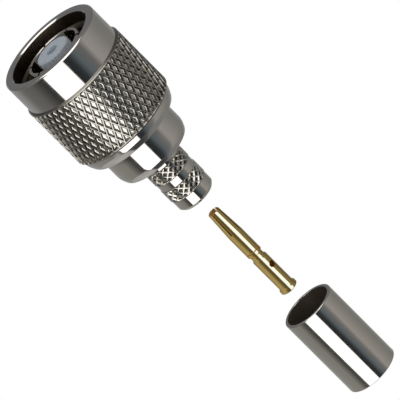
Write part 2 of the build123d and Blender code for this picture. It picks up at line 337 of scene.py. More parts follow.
# %% Inside thread of the nut
def thread(front, rear, pitch, bore, root, rows_per_pitch, columns):
    """Radius = bore + depth * wave, where the wave is 0 on the thread's flat crest and 1 on its
    narrower flat root, and moves one pitch along X for a turn to the right. It starts as a
    circle at the root, as a chamfered thread does, and ends a little shallower."""
    crest_end, root_start = 0.25, 0.875
    lead_in, lead_out, shallow = 0.45, 0.3, 0.12
    rows = int(round((rear - front) / pitch * rows_per_pitch))
    x = np.linspace(rear, front, rows + 1)[:, None]
    turns = (np.arange(columns) / columns)[None, :]
    swing = abs(2 * ((x / pitch - turns) % 1) - 1)
    wave = np.clip((swing - crest_end) / (root_start - crest_end), 0, 1)
    start = np.clip((x - front) / lead_in, 0, 1)
    end = np.clip((rear - x) / lead_out, 0, 1)
    wave = np.maximum(wave, 1 - start)
    radius = bore + (root - bore) * wave * (1 - shallow + shallow * end)
    return turn(x, radius, 2 * np.pi * turns)


thread_front, thread_rear, thread_bore, thread_root = -7.6, -0.6, 5.1, 5.555
fine_columns, turned_columns = 768, 192
nut_thread = thread(
    thread_front, thread_rear, 0.907, thread_bore, thread_root, 12, turned_columns
)
print("thread rows", len(nut_thread), "of", nut_thread.shape[1])

# %% [markdown]
# ## Coupling nut
#
# The nut is what a hand turns to lock the plug. It is bored and threaded inside, turned smooth at
# both ends outside, and knurled between. One outline for all of it would force the knurl's columns
# on the bore, so each wall is its own grid with its own finish. The thread ends in a wider relief,
# as the tool needs room to stop, and behind it are the lands and the groove for the split ring.

# %% Walls of the nut
nut_front, nut_rear = -9.6, 5.5
mouth_front, mouth_rear, mouth = -9.45, -7.85, 5.87
strip_front, collar, relief, land, ring_room = -5.45, 6.95, 5.5, 4.88, 5.32
mouth_wall = np.array([(thread_front, thread_root), (mouth_rear, mouth), (mouth_front, mouth)])
front_wall = soften([
    (mouth_front, mouth, 0), (nut_front, 6.02, 0.04), (nut_front, 6.84, 0.05),
    (-9.415, front_band, 0.08), (strip_front, front_band, 0),
])
rear_wall = soften([
    (knurl_rear, collar, 0), (3.94, 6.98, 0), (4.66, 6.85, 2.0), (nut_rear, 6.46, 0.3),
    (nut_rear, 5.33, 0.04), (5.2, 5.33, 0), (5.2, 5.08, 0.05), (5.0, land, 0.03),
    (3.35, land, 0), (3.35, ring_room, 0), (2.35, ring_room, 0), (2.35, land, 0),
    (1.15, land, 0), (1.15, relief, 0), (thread_rear, relief, 0),
], steps=6)
thread_end = np.stack([turn(thread_rear, relief, evenly(turned_columns)), nut_thread[0]])
front_strip = gather(
    (knurl_front, front_band), (strip_front, front_band), fine_columns, turned_columns,
    fine_first=False,
)
rear_strip = gather(
    (knurl_rear, rear_band), (knurl_rear, collar), fine_columns, turned_columns
)
print("nut length", nut_rear - nut_front)

# %% Join the nut
polished, knurled, bored, threaded = range(4)
nut_parts = [
    (lathe(mouth_wall, turned_columns, closed=False), bored),
    (lathe(front_wall, turned_columns, closed=False), polished),
    (front_strip, polished),
    (nut_knurl, knurled),
    (rear_strip, polished),
    (lathe(rear_wall, turned_columns, closed=False), polished),
    ((thread_end.reshape(-1, 3), [net(2, turned_columns)]), threaded),
    ((nut_thread.reshape(-1, 3), [net(len(nut_thread), turned_columns)]), threaded),
]
coupling_nut = make_piece(
    "coupling_nut", [part for part, _ in nut_parts], "coupling_nut",
    finishes=[finish for _, finish in nut_parts],
)

# %% [markdown]
# ## Body with its crimp stem
#
# The body is one turned piece: a journal inside the nut, the shoulder behind it, and a thin tube
# with two knurled bands that grip the cable's braid. The bands could use strips as the nut does,
# but here one column count suits both knurls and walls. The shoulder's rear face is dished, so
# that the ferrule has room when it is pushed all the way on.

# %% Walls and knurls of the body
stem_starts, stem_cells = 17, 8
stem_columns = 2 * stem_starts * stem_cells
first_band, second_band = (10.84, 12.8), (13.73, 15.69)
stem, stem_end, stem_bore, band_end = 2.68, 17.46, 1.97, 2.66
stem_crest, stem_pit = 2.77, 2.53
shoulder, shoulder_rear, journal, groove = 5.235, 9.8, 4.8, 4.05
body_wall = soften([
    (second_band[1], band_end, 0), (second_band[1], stem, 0), (17.06, stem, 0.12),
    (stem_end, 2.35, 0.1), (stem_end, stem_bore, 0), (6.3, stem_bore, 0), (6.3, 3.32, 0),
    (2.0, 3.32, 0), (2.0, 4.27, 0), (1.0, 4.27, 0), (1.0, journal, 0.05), (2.35, journal, 0),
    (2.35, groove, 0), (3.35, groove, 0), (3.35, journal, 0.05), (5.4, journal, 0),
    (5.4, 5.075, 0.05), (5.55, shoulder, 0.1), (8.85, shoulder, 2.4), (shoulder_rear, 4.83, 0.3),
    (shoulder_rear, 4.3, 0.03), (9.62, 3.95, 0.03), (9.62, stem, 0.05),
    (first_band[0], stem, 0), (first_band[0], band_end, 0),
], steps=6)
between_bands = np.array([
    (first_band[1], band_end), (first_band[1], stem), (second_band[0], stem),
    (second_band[0], band_end),
])
stem_knurl = {
    "rows": 37, "starts": stem_starts, "cells": stem_cells, "crest": stem_crest,
    "pit": stem_pit, "ends": (band_end, band_end), "power": 2, "bevel": 0.11,
}
body_parts = [
    lathe(body_wall, stem_columns, closed=False),
    knurl(*first_band, **stem_knurl),
    lathe(between_bands, stem_columns, closed=False),
    knurl(*second_band, **stem_knurl),
]
plug_body = make_piece(
    "plug_body", body_parts, "connector_body",
    finishes=[polished, knurled, polished, knurled],
)

# %% [markdown]
# ## Slotted sleeve
#
# The outer contact is a springy sleeve with slots that a saw has cut straight through the wall.
# A Boolean would leave ragged shading on the rounded tip. Instead the columns of the grid are
# bent so that two of them run along each slot's parallel sides at every radius; then the cells
# of the slot are left out and flat walls close the cut.

# %% A turned wall with slots
LEEWAY = 1e-6


def slotted(outline, slots, width, end, angle, fingers, gone=None):
    """Columns are at the slot's middle plus or minus asin(width / 2 / radius), and evenly spread
    between slots. Cells in a slot, from the outline's lowest x to end, are left out, and flat
    faces close the fingers' sides and the slot's end. gone marks more cells to leave out."""
    inside = outline[:, 0] <= end + LEEWAY
    outline = np.roll(outline, -int(np.argmax(inside & ~np.roll(inside, 1))), axis=0)
    inside = outline[:, 0] <= end + LEEWAY
    x, radius = outline[:, :1], outline[:, 1:]
    half = np.arcsin(width / 2 / np.maximum(radius, width))
    sector = 2 * np.pi / slots
    place = np.tile(np.arange(2 + fingers), slots)[None, :]
    middle = np.repeat(np.arange(slots), 2 + fingers)[None, :] * sector + math.radians(angle)
    spread = (sector - 2 * half) * np.maximum(place - 2, 0) / fingers
    angles = middle - half + 2 * half * np.minimum(place / 2, 1) + spread
    points = turn(x, radius, angles)
    rows, columns = angles.shape
    quads = net(rows, columns, closed=True)
    cut = (inside & np.roll(inside, -1))[:, None] & (place < 2)
    if gone is not None:
        cut = cut | gone(x[:, 0], np.roll(x[:, 0], -1), angles)
    faces = [quads[~cut]]
    run = np.arange(int(inside.sum()))[None, :]
    first = (np.arange(slots) * (2 + fingers))[:, None]
    faces.append(run * columns + first + 2)
    faces.append((run * columns + first)[:, ::-1])
    for k in (0, 1):
        inner, outer = first[:, 0] + k, run[0, -1] * columns + first[:, 0] + k
        faces.append(np.stack([inner, inner + 1, outer + 1, outer], -1))
    return points, angles, outline, faces


print("a slot 0.35 mm wide takes", round(math.degrees(0.35 / 4.02), 1), "degrees of the sleeve")

# %% Sleeve
sleeve_front, sleeve_slot_end, sleeve_inside, sleeve_outside = -8.76, -3.36, 3.5, 4.02
sleeve_outline = soften([
    (sleeve_slot_end, sleeve_inside, 0), (-8.7, sleeve_inside, 0.03), (sleeve_front, 3.56, 0.03),
    (sleeve_front, 3.87, 0.08), (-8.61, sleeve_outside, 0.1),
    (sleeve_slot_end, sleeve_outside, 0), (0.1, sleeve_outside, 0), (0.1, 4.25, 0.02),
    (2.0, 4.25, 0.02), (2.0, 2.38, 0), (1.3, 2.38, 0), (1.3, sleeve_inside, 0),
])
points, _, _, faces = slotted(
    sleeve_outline, slots=6, width=0.35, end=sleeve_slot_end, angle=-5, fingers=22
)
outer_contact = make_piece(
    "outer_contact", [(points.reshape(-1, 3), faces)], "connector_body"
)

# %% [markdown]
# ## Insulator and seal
#
# The insulator is a machined plastic rod that keeps the centre contact in the middle, and the
# seal is a moulded ring at the foot of the sleeve. Both are plain turned shapes, so an outline is
# all they need. Their edges are softer than the metal's, because plastic and rubber never come
# out as sharp.

# %% Insulator
plastic_columns = 144
nose_front, nose, foot, foot_rear = -9.0, 2.36, 3.3, 6.3
pin_hole, pin_bore, pin_seat = 0.82, 1.06, 1.24
insulator_outline = soften([
    (nose_front, pin_hole, 0.04), (nose_front, 2.21, 0.1), (-8.85, nose, 0.12), (2.0, nose, 0),
    (2.0, foot, 0.05), (foot_rear, foot, 0.05), (foot_rear, pin_seat, 0.04),
    (5.28, pin_seat, 0), (5.1, pin_bore, 0), (-8.2, pin_bore, 0), (-8.2, pin_hole, 0),
])
insulator = make_piece(
    "insulator", [lathe(insulator_outline, plastic_columns)], "connector_body"
)

# %% Seal ring
seal_front, seal_rear, seal_inside, seal_outside, seal_edge = 0.0, 1.0, 4.3, 4.8, 0.15
seal_outline = soften([
    (seal_front, seal_inside, seal_edge), (seal_front, seal_outside, seal_edge),
    (seal_rear, seal_outside, seal_edge), (seal_rear, seal_inside, seal_edge),
])
seal_ring = make_piece(
    "seal_ring", [lathe(seal_outline, plastic_columns)], "connector_body"
)

# %% [markdown]
# ## Centre contact
#
# The contact is turned from thin brass rod, bored from both ends and sawn into four springs at
# its tip. A fine score runs around it before the neck. Its outline could stop at the visible
# outside, but the slots and the hole let one look in, so it goes on into both bores. The rows
# beside the hole are close together, because the hole is cut out between them.

# %% Outline of the contact
tip, score, neck, pot, contact_rear = 20.36, 27.4, 27.96, 29.76, 34.46
contact_slot_end, socket_end, score_width = tip + 3.7, tip + 5.2, 0.14
rod, socket, pot_bore, neck_radius, score_floor, flange = 1.02, 0.66, 0.75, 0.85, 0.9, 1.2
hole_x, hole_angle, hole_radius = 30.28, math.radians(144), 0.425
outside_rows = [(hole_x + step * 0.5 / 3, rod, 0) for step in range(-3, 4)]
inside_rows = [(hole_x - step * 0.49 / 3, pot_bore, 0) for step in range(-3, 4)]
contact_outline = soften([
    (contact_slot_end, socket, 0), (tip + 0.05, socket, 0.02), (tip, 0.71, 0.02),
    (tip, 0.73, 0.02), (tip + 0.1, 0.805, 0.05), (contact_slot_end, 0.998, 0),
    (tip + 4.1, rod, 0.4), (score, rod, 0.02), (score, score_floor, 0),
    (score + score_width, score_floor, 0), (score + score_width, rod, 0.02), (neck, rod, 0.05),
    (neck + 0.2, neck_radius, 0.08), (neck + 0.75, neck_radius, 0.08), (neck + 0.95, rod, 0.05),
    *outside_rows, (33.8, rod, 0.04), (33.98, flange, 0.05), (34.38, flange, 0.05),
    (contact_rear, 1.12, 0.04), (contact_rear, 0.78, 0.02), (34.43, pot_bore, 0.02),
    *inside_rows, (pot, pot_bore, 0), (pot, 0, 0), (socket_end, 0, 0),
    (socket_end, socket, 0.03),
])
print("contact outline", len(contact_outline), "points")

# %% [markdown]
# ## Inspection hole
#
# A small drill has gone through one wall of the crimp pot, so that the wire can be seen in it.
# A Boolean would cut the long quads into slivers that shade badly. Here a patch of cells is left
# out of the outer and the inner wall, rings of points lead from each patch's edge to the hole's
# circle, and one more ring of faces lines the hole.

# %% Make room for the hole
patch_reach, patch_half = math.radians(40), 0.505


def from_hole(angles):
    """Angle from the hole's middle, brought between minus and plus half a turn."""
    return (angles - hole_angle + np.pi) % (2 * np.pi) - np.pi


def beside_hole(x):
    """Which outline points are on the rows of the patch."""
    return abs(x - hole_x) < patch_half


def in_patch(x, x_next, angles):
    """Which cells lie in the patch: between its rows, with both sides within its reach."""
    away = abs(from_hole(angles[np.argmax(beside_hole(x))]))
    rows = beside_hole(x) & beside_hole(x_next)
    return rows[:, None] & ((away < patch_reach) & (np.roll(away, -1) < patch_reach))[None, :]


print("patch", round(2 * patch_half, 2), "mm by", round(math.degrees(2 * patch_reach)), "degrees")

# %% Rings from a patch to the hole
def patch_edge(points, wall, run):
    """The points once around a patch that has these rows and this run of columns."""
    return np.concatenate([
        points[wall[0], run[:-1]], points[wall[:-1], run[-1]],
        points[wall[-1], run[:0:-1]], points[wall[:0:-1], run[0]],
    ])


def sideways(edge, radius):
    """How far points are from the hole's middle across the axis: radius * sin(angle from it)."""
    return radius * np.sin(from_hole(np.arctan2(edge[:, 2], edge[:, 1])))


def rings_to_hole(edge, radius, bearing):
    """Four rings of points. Each point lies on the straight way from the patch's edge to the
    hole's circle at its bearing, in x and in radius * sin(angle from the hole's middle), which
    keeps a drilled hole straight."""
    share = np.array([0, 0.45, 0.8, 1.0])[:, None]
    side = sideways(edge, radius)
    x = edge[:, 0] + (hole_x + hole_radius * np.cos(bearing) - edge[:, 0]) * share
    s = side + (hole_radius * np.sin(bearing) - side) * share
    rings = turn(x, radius, hole_angle + np.arcsin(s / radius))
    rings[0] = edge
    return rings


print("hole", 2 * hole_radius, "mm wide at", round(math.degrees(hole_angle)), "degrees")

# %% Drill the inspection hole
def drilled(outline, slots, width, end, angle, fingers):
    """The slotted outline without the cells of the patch, the rings on the outer and the inner
    wall, and the hole's own wall between each outer point and the inner one of its bearing. The
    inner wall's rows run the other way along x, so its bearings are half a turn less these."""
    points, angles, outline, faces = slotted(outline, slots, width, end, angle, fingers, in_patch)
    rows = np.nonzero(beside_hole(outline[:, 0]))[0]
    near = from_hole(angles[rows[0]])
    columns = np.nonzero(abs(near) < patch_reach)[0]
    run = columns[np.argsort(near[columns])]
    outside = outline[rows, 1] > (pot_bore + rod) / 2
    outer_rows, inner_rows = rows[outside], rows[~outside]
    outer_edge = patch_edge(points, outer_rows, run)
    bearing = np.arctan2(sideways(outer_edge, rod), outer_edge[:, 0] - hole_x)
    outer = rings_to_hole(outer_edge, outline[outer_rows[0], 1], bearing)
    inner_edge = patch_edge(points, inner_rows, run)
    inner = rings_to_hole(inner_edge, outline[inner_rows[0], 1], np.pi - bearing)
    apart = abs(np.exp(1j * bearing)[:, None] - np.exp(1j * (np.pi - bearing))[None, :])
    rim = np.stack([outer[-1], inner[-1][np.argmin(apart, axis=1)]])
    around = len(bearing)
    return [
        (points.reshape(-1, 3), faces),
        (outer.reshape(-1, 3), [net(4, around)]),
        (inner.reshape(-1, 3), [net(4, around)]),
        (rim.reshape(-1, 3), [net(2, around)]),
    ]


contact_parts = drilled(
    contact_outline, slots=4, width=0.17, end=contact_slot_end, angle=32, fingers=14
)
centre_contact = make_piece("centre_contact", contact_parts, "centre_contact")

# %% [markdown]
# Gold plating gets thin in the bores and in the score, and looks brown there; the brown is also
# painted shade in these recesses. Those faces get a finish of their own. A mask texture could do
# it; but the faces are known by where their middles are, so they simply get the second material.

# %% Mark the bores and the score
bore_front, bore_rear, bore_reach = tip + 0.5, 34.3, 0.79
middles = np.empty(3 * len(centre_contact.data.polygons), np.float32)
centre_contact.data.polygons.foreach_get("center", middles)
middles = middles.reshape(-1, 3)
# Faces in the bores and the score: thin gold, and brown as painted shade in these recesses.
thin_gold_and_shade_faces = np.hypot(middles[:, 1], middles[:, 2]) < bore_reach * MM
thin_gold_and_shade_faces &= (middles[:, 0] > bore_front * MM) & (middles[:, 0] < bore_rear * MM)
score_reach = score_width / 2 + 0.004
thin_gold_and_shade_faces |= abs(middles[:, 0] - (score + score_width / 2) * MM) < score_reach * MM
centre_contact.data.polygons.foreach_set("material_index", thin_gold_and_shade_faces.astype(np.int32))
print("faces in the contact's bores and score", int(thin_gold_and_shade_faces.sum()))

# %% [markdown]
# ## Crimp ferrule
#
# The ferrule is a length of drawn tube that is crimped over the braid. It is cut off and tumbled,
# so its edges are only just broken. A tube with a Solidify modifier would have one finish inside
# and outside; two grids give the dull inside its own, which is dark partly from stain and partly
# as painted shade.

# %% Walls of the ferrule
ferrule_front, ferrule_rear, ferrule_bore, ferrule = 37.76, 49.86, 3.18, 3.6
ferrule_outside = soften([
    (37.78, ferrule_bore, 0), (ferrule_front, 3.2, 0.03), (ferrule_front, 3.52, 0.05),
    (37.84, ferrule, 0.08), (49.78, ferrule, 0.08), (ferrule_rear, 3.52, 0.05),
    (ferrule_rear, 3.2, 0.03), (49.84, ferrule_bore, 0),
])
ferrule_inside = np.array([(49.84, ferrule_bore), (43.8, ferrule_bore), (37.78, ferrule_bore)])
ferrule_parts = [
    lathe(ferrule_outside, turned_columns, closed=False),
    lathe(ferrule_inside, turned_columns, closed=False),
]
# The inside's finish is dark partly from stain and partly as painted shade.
tumbled, inside_stain_and_painted_shade = 0, 1
crimp_ferrule = make_piece(
    "crimp_ferrule", ferrule_parts, "crimp_ferrule", finishes=[tumbled, inside_stain_and_painted_shade]
)

# %% [markdown]
# ## Materials
#
# Every finish here is a metal coating, a plastic or a rubber, so one Principled shader each is
# enough; what differs is colour, roughness and the marks of how the part was made. Colours are
# written as on a screen, and one function turns them into the linear values of a shader.

# %% Colours and nodes
def linear(code):
    """A written sRGB colour as the linear values that a shader takes."""
    parts = np.array([int(code[k : k + 2], 16) for k in (1, 3, 5)]) / 255
    parts = np.where(parts <= 0.04045, parts / 12.92, ((parts + 0.055) / 1.055) ** 2.4)
    return (*parts.tolist(), 1.0)


def add_node(tree, kind, values=None, **settings):
    """Add one node. Values go to its inputs by name or number; a value that is another node's
    output is linked instead."""
    node = tree.nodes.new(kind)
    for name, setting in settings.items():
        setattr(node, name, setting)
    for key, value in (values or {}).items():
        if isinstance(value, bpy.types.NodeSocket):
            tree.links.new(value, node.inputs[key])
        else:
            node.inputs[key].default_value = value
    return node


def new_material(name):
    """An empty material with an output and a Principled shader joined to it."""
    material = bpy.data.materials.new(name)
    material.use_nodes = True
    tree = material.node_tree
    tree.nodes.clear()
    shader = add_node(tree, "ShaderNodeBsdfPrincipled")
    add_node(tree, "ShaderNodeOutputMaterial", {"Surface": shader.outputs[0]})
    return material, tree, shader


NICKEL, GOLD = "#C6C3BD", "#F0CF7C"
print("linear nickel", [round(part, 3) for part in linear(NICKEL)])

# %% [markdown]
# ## Plated metal
#
# Plating covers the metal but keeps the marks of the tool below it: fine rings around the axis.
# A picture of scratches could be mapped on, but noise that is squeezed along X and stretched
# around it does the same at any size. A slower noise makes the plating a little duller in places,
# as handling does.

# %% Plated metals
def plated(name, colour, roughness, ring_mm, ring_depth, patch=0.04, metallic=1.0):
    """Metal with rings about ring_mm apart along X, raised by ring_depth of a millimetre, and
    a roughness that wanders by patch, over the range from low to high where most of the noise
    lies. Metallic is less than 1 where stain covers the metal."""
    stretch, cloud_mm, low, high = 0.012, 1.6, 0.3, 0.7
    material, tree, shader = new_material(name)
    place = add_node(tree, "ShaderNodeTexCoord").outputs["Object"]
    rings = add_node(tree, "ShaderNodeMapping", {"Vector": place, "Scale": (1, stretch, stretch)})
    marks = add_node(
        tree, "ShaderNodeTexNoise",
        {"Vector": rings.outputs[0], "Scale": 1 / (ring_mm * MM), "Detail": 2.0},
    )
    clouds = add_node(
        tree, "ShaderNodeTexNoise",
        {"Vector": place, "Scale": 1 / (cloud_mm * MM), "Detail": 3.0},
    )
    rough = add_node(
        tree, "ShaderNodeMapRange",
        {"Value": clouds.outputs[0], 1: low, 2: high, 3: roughness - patch, 4: roughness + patch},
    )
    bump = add_node(
        tree, "ShaderNodeBump",
        {"Height": marks.outputs[0], "Strength": 1.0, "Distance": ring_depth * MM},
    )
    shader.inputs["Base Color"].default_value = linear(colour)
    shader.inputs["Metallic"].default_value = metallic
    tree.links.new(rough.outputs[0], shader.inputs["Roughness"])
    tree.links.new(bump.outputs[0], shader.inputs["Normal"])
    return material


# Barrel-plated nickel on turned brass: nearly a mirror, so a softbox keeps its crisp edges.
nickel = plated("bright_nickel_plating_on_turned_brass", NICKEL, 0.07, 0.12, 0.0004, 0.02)
# Drawn tube has wider and shallower marks, so its highlight is calm and hardly broken.
drawn_nickel = plated("nickel_plating_on_drawn_tube", "#C6C3BC", 0.08, 0.3, 0.0003, 0.02)
# Spring bronze shines through its thin nickel a little, which makes it warmer and duller.
nickel_bronze = plated("nickel_plating_on_spring_bronze", "#C4BEB4", 0.09, 0.12, 0.0004)
# Gold on turned brass: a warm mirror, a little softer than the nickel.
gold = plated("gold_plating_on_turned_brass", GOLD, 0.1, 0.1, 0.0004)
print("plated materials", [m.name for m in bpy.data.materials if "plating" in m.name])

# %% [markdown]
# ## Metal inside bores
#
# Plating current hardly reaches into a bore, and no brush polishes it. The coating is thin and
# dull there, and oil and stain stay on it. Shadow alone doesn't show that on a mirror, because
# the bore would reflect its own bright mouth. So the insides have darker and rougher metals of
# their own: the roughness and some of the darkness are the thin, stained coating, and the rest
# of the darkness is painted shade.

# %% Plating and painted shade in bores, on the thread and in the tube
# The nut's smooth mouth: dull, with plain marks of the boring tool, and painted brown-grey as
# shade.
bored_nickel = plated("thin_nickel_plating_and_painted_shade_in_a_bore", "#5C5347", 0.33, 0.15, 0.001)
# The thread: painted darker still as shade, so that only its crests catch some light.
threaded_nickel = plated("thin_nickel_plating_and_painted_shade_on_a_thread", "#453F36", 0.35, 0.1, 0.001)
# The ferrule's inside: drawing grease baked on, half metal and half stain, an even dark brown
# that is partly painted shade.
stain_and_shade_nickel = plated(
    "thin_nickel_plating_in_drawn_tube", "#6B6052", 0.4, 0.3, 0.001, metallic=0.5
)
# The contact's bores and score: hardly any gold, so they look orange-brown and matt; the brown is
# partly painted shade in these recesses.
stain_and_shade_gold = plated("thin_gold_plating_and_painted_shade_in_a_bore", "#E8B04E", 0.45, 0.1, 0.001, metallic=0.2)
print("metals for the insides", bored_nickel.name, threaded_nickel.name)

# %% [markdown]
# ## Knurled metal
#
# The wheels tear the metal a little as they press it, so a pit's walls are rougher than its
# ridges, which hands and tumbling keep bright. The walls are also painted darker, and on the stem
# the pit floors too, as painted shade in the pits. The colour could be painted on each vertex, but
# the distance from the axis already tells pit, wall and ridge apart, so the shader reads that.

# %% Pressed metal
def pressed(name, floor_colour, ridge_colour, wall_colour, pit, crest, drop, smooth):
    """Plated metal where a knurling wheel was pressed in: one colour for the floors of the pits,
    up to radius pit, one for the ridges, above radius crest - drop, and one for the walls
    between them, which are rougher than smooth by 0.1. Each colour fades over 0.04 to 0.05 mm.
    A wall or floor colour darker than the metal is painted shade in the pits."""
    grain_mm, grain_depth = 0.15, 0.006
    material, tree, shader = new_material(name)
    place = add_node(tree, "ShaderNodeTexCoord").outputs["Object"]
    apart = add_node(tree, "ShaderNodeSeparateXYZ", {0: place})
    flat = add_node(tree, "ShaderNodeCombineXYZ", {1: apart.outputs[1], 2: apart.outputs[2]})
    radius = add_node(tree, "ShaderNodeVectorMath", {0: flat.outputs[0]}, operation="LENGTH")
    above_floor = add_node(
        tree, "ShaderNodeMapRange",
        {"Value": radius.outputs["Value"], 1: (pit + 0.01) * MM, 2: (pit + 0.05) * MM},
    )
    below_ridge = add_node(
        tree, "ShaderNodeMapRange",
        {"Value": radius.outputs["Value"], 1: (crest - drop) * MM, 2: (crest - drop - 0.05) * MM},
    )
    wall = add_node(
        tree, "ShaderNodeMath", {0: above_floor.outputs[0], 1: below_ridge.outputs[0]},
        operation="MULTIPLY",
    )
    # Floors and walls: a darker colour mixed in here is painted shade in the pits.
    pit_colours_with_painted_shade = add_node(
        tree, "ShaderNodeMix",
        {0: wall.outputs[0], 6: linear(floor_colour), 7: linear(wall_colour)}, data_type="RGBA",
    )
    tint = add_node(
        tree, "ShaderNodeMix",
        {0: below_ridge.outputs[0], 6: linear(ridge_colour), 7: pit_colours_with_painted_shade.outputs[2]},
        data_type="RGBA",
    )
    rough = add_node(
        tree, "ShaderNodeMapRange", {"Value": wall.outputs[0], 3: smooth, 4: smooth + 0.1}
    )
    grain = add_node(
        tree, "ShaderNodeTexNoise",
        {"Vector": place, "Scale": 1 / (grain_mm * MM), "Detail": 2.0},
    )
    bump = add_node(
        tree, "ShaderNodeBump", {"Height": grain.outputs[0], "Distance": grain_depth * MM}
    )
    shader.inputs["Metallic"].default_value = 1.0
    tree.links.new(tint.outputs[2], shader.inputs["Base Color"])
    tree.links.new(rough.outputs[0], shader.inputs["Roughness"])
    tree.links.new(bump.outputs[0], shader.inputs["Normal"])
    return material


print("the nut's pits are", round(knurl_crest - knurl_pit, 2), "mm deep")

# %% The two knurled finishes
# The nut's knurl: level pit floors flash as small bright diamonds between greyer ridges, and the
# walls are painted dark as shade in the pits.
nut_knurl_nickel = pressed(
    "nickel_plating_on_the_nut_knurl", "#CFCCC5", "#A9A69D", "#76726A", 6.96, knurl_crest,
    0.02, 0.2,
)
# The stem's knurl: small pits, painted dark as shade, in a net of bright ridges.
stem_knurl_nickel = pressed(
    "nickel_plating_on_the_stem_knurl", "#45413B", "#CECBC4", "#8F8B82", 2.57, stem_crest,
    0.1, 0.15,
)
print("knurled metals", nut_knurl_nickel.name, stem_knurl_nickel.name)

# %% [markdown]
# The order of a piece's materials is the order of the finish numbers that its grids have. The
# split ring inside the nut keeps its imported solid, because it is hidden, and gets the sleeve's
# metal.

# %% Put the metals on the pieces
metals = [
    (coupling_nut, [nickel, nut_knurl_nickel, bored_nickel, threaded_nickel]),
    (plug_body, [nickel, stem_knurl_nickel]),
    (outer_contact, [nickel_bronze]),
    (centre_contact, [gold, stain_and_shade_gold]),
    (crimp_ferrule, [drawn_nickel, stain_and_shade_nickel]),
]
for piece, materials in metals:
    for material in materials:
        piece.data.materials.append(material)
    print(piece.name, [material.name for material in materials])
split_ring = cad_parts["retaining_ring"]
for material_slot in split_ring.material_slots:
    material_slot.material = nickel_bronze
if not split_ring.material_slots:
    split_ring.data.materials.append(nickel_bronze)

# %% [markdown]
# ## Plastic and rubber
#
# The insulator is a white fluoropolymer, waxy and slightly translucent, and the seal is silicone
# rubber. Neither is one flat colour: light goes a little way in, and the surface has a fine grain
# from the tool or the mould. Full volume scattering would be slow for such small parts, so the
# shader's own subsurface setting does it, and two noises give the grain and a faint cloud.

# %% Plastic and rubber
def moulded(name, colours, roughness, grain_mm, grain_depth, ior, under=0.0):
    """A dielectric whose colour wanders between two, with a grain of grain_mm raised by
    grain_depth of a millimetre. under is the share of light that goes up to 1 mm in."""
    cloud_mm, light_reach = 2.5, 1.0
    material, tree, shader = new_material(name)
    place = add_node(tree, "ShaderNodeTexCoord").outputs["Object"]
    grain = add_node(
        tree, "ShaderNodeTexNoise", {"Vector": place, "Scale": 1 / (grain_mm * MM), "Detail": 2.0}
    )
    clouds = add_node(tree, "ShaderNodeTexNoise", {"Vector": place, "Scale": 1 / (cloud_mm * MM)})
    tint = add_node(
        tree, "ShaderNodeMix",
        {0: clouds.outputs[0], 6: linear(colours[0]), 7: linear(colours[1])}, data_type="RGBA",
    )
    bump = add_node(
        tree, "ShaderNodeBump", {"Height": grain.outputs[0], "Distance": grain_depth * MM}
    )
    tree.links.new(tint.outputs[2], shader.inputs["Base Color"])
    tree.links.new(bump.outputs[0], shader.inputs["Normal"])
    shader.inputs["Roughness"].default_value = roughness
    shader.inputs["IOR"].default_value = ior
    shader.inputs["Subsurface Weight"].default_value = under
    shader.inputs["Subsurface Radius"].default_value = (1, 1, 1)
    shader.inputs["Subsurface Scale"].default_value = light_reach * MM
    return material


# Machined PTFE: a soft, slightly blue white without a highlight.
white_ptfe = moulded(
    "machined_white_ptfe", ("#DDE2E7", "#D4DAE0"), 0.55, 0.15, 0.0006, 1.38, 0.25
)
# Silicone rubber from a mould: an even, dull brick red.
silicone = moulded("moulded_silicone_rubber", ("#B5614A", "#A85641"), 0.55, 0.1, 0.002, 1.41)
insulator.data.materials.append(white_ptfe)
seal_ring.data.materials.append(silicone)
print("plastics", white_ptfe.name, silicone.name)

# %% [markdown]
# ## Studio
#
# Polished metal shows the room more than itself, so the room is what gives the plug its look: a
# white softbox with crisp edges, black flags on both sides of it, and grey cloth all round. A
# studio hangs this as a tent of cloth. Area lamps could stand for the softbox, but not for the
# cloth between dark and light. Here the tent is a long drum around the X axis that glows, and its
# glow is a function of where it is: a colour ramp around the axis, and another one for each zone
# along it.
#
# The camera and matt surfaces don't see the tent, and it casts no shadow: its strong strip would
# burn out the white plastic, and its cloth would darken the floor. Only what is glossy shows it.

# %% A drum around the plug
def tube(name, x_from, x_to, radius):
    """A drum around X, in metres, with its faces inwards. Each end disc has a hole of 1 mm
    radius at the axis, where its faces would otherwise meet in one point."""
    pole, columns = 0.001, 96
    outline = np.array([(x_to, pole), (x_to, radius), (x_from, radius), (x_from, pole)])
    points, faces = lathe(outline, columns, closed=False)
    mesh = bpy.data.meshes.new(name)
    mesh.from_pydata(points.tolist(), [], faces[0].reshape(-1, 4).tolist())
    shade = bpy.data.objects.new(name, mesh)
    bpy.context.scene.collection.objects.link(shade)
    shade.visible_camera = False
    shade.visible_diffuse = False
    shade.visible_shadow = False
    return shade


tent = tube("light_tent", x_from=-0.45, x_to=0.6, radius=0.27)
pin_tent = tube("light_tent_for_the_pin", x_from=-0.46, x_to=0.61, radius=0.28)
print("tents", tent.name, pin_tent.name)

# %% The cloth's glow
def ramp_stops(ramp, stops):
    """Fill a colour ramp with stops of (degrees, colour)."""
    while len(ramp.elements) < len(stops):
        ramp.elements.new(0.5)
    for element, (degrees, colour) in zip(ramp.elements, sorted(stops)):
        element.position = (degrees + 180) / 360
        element.color = colour


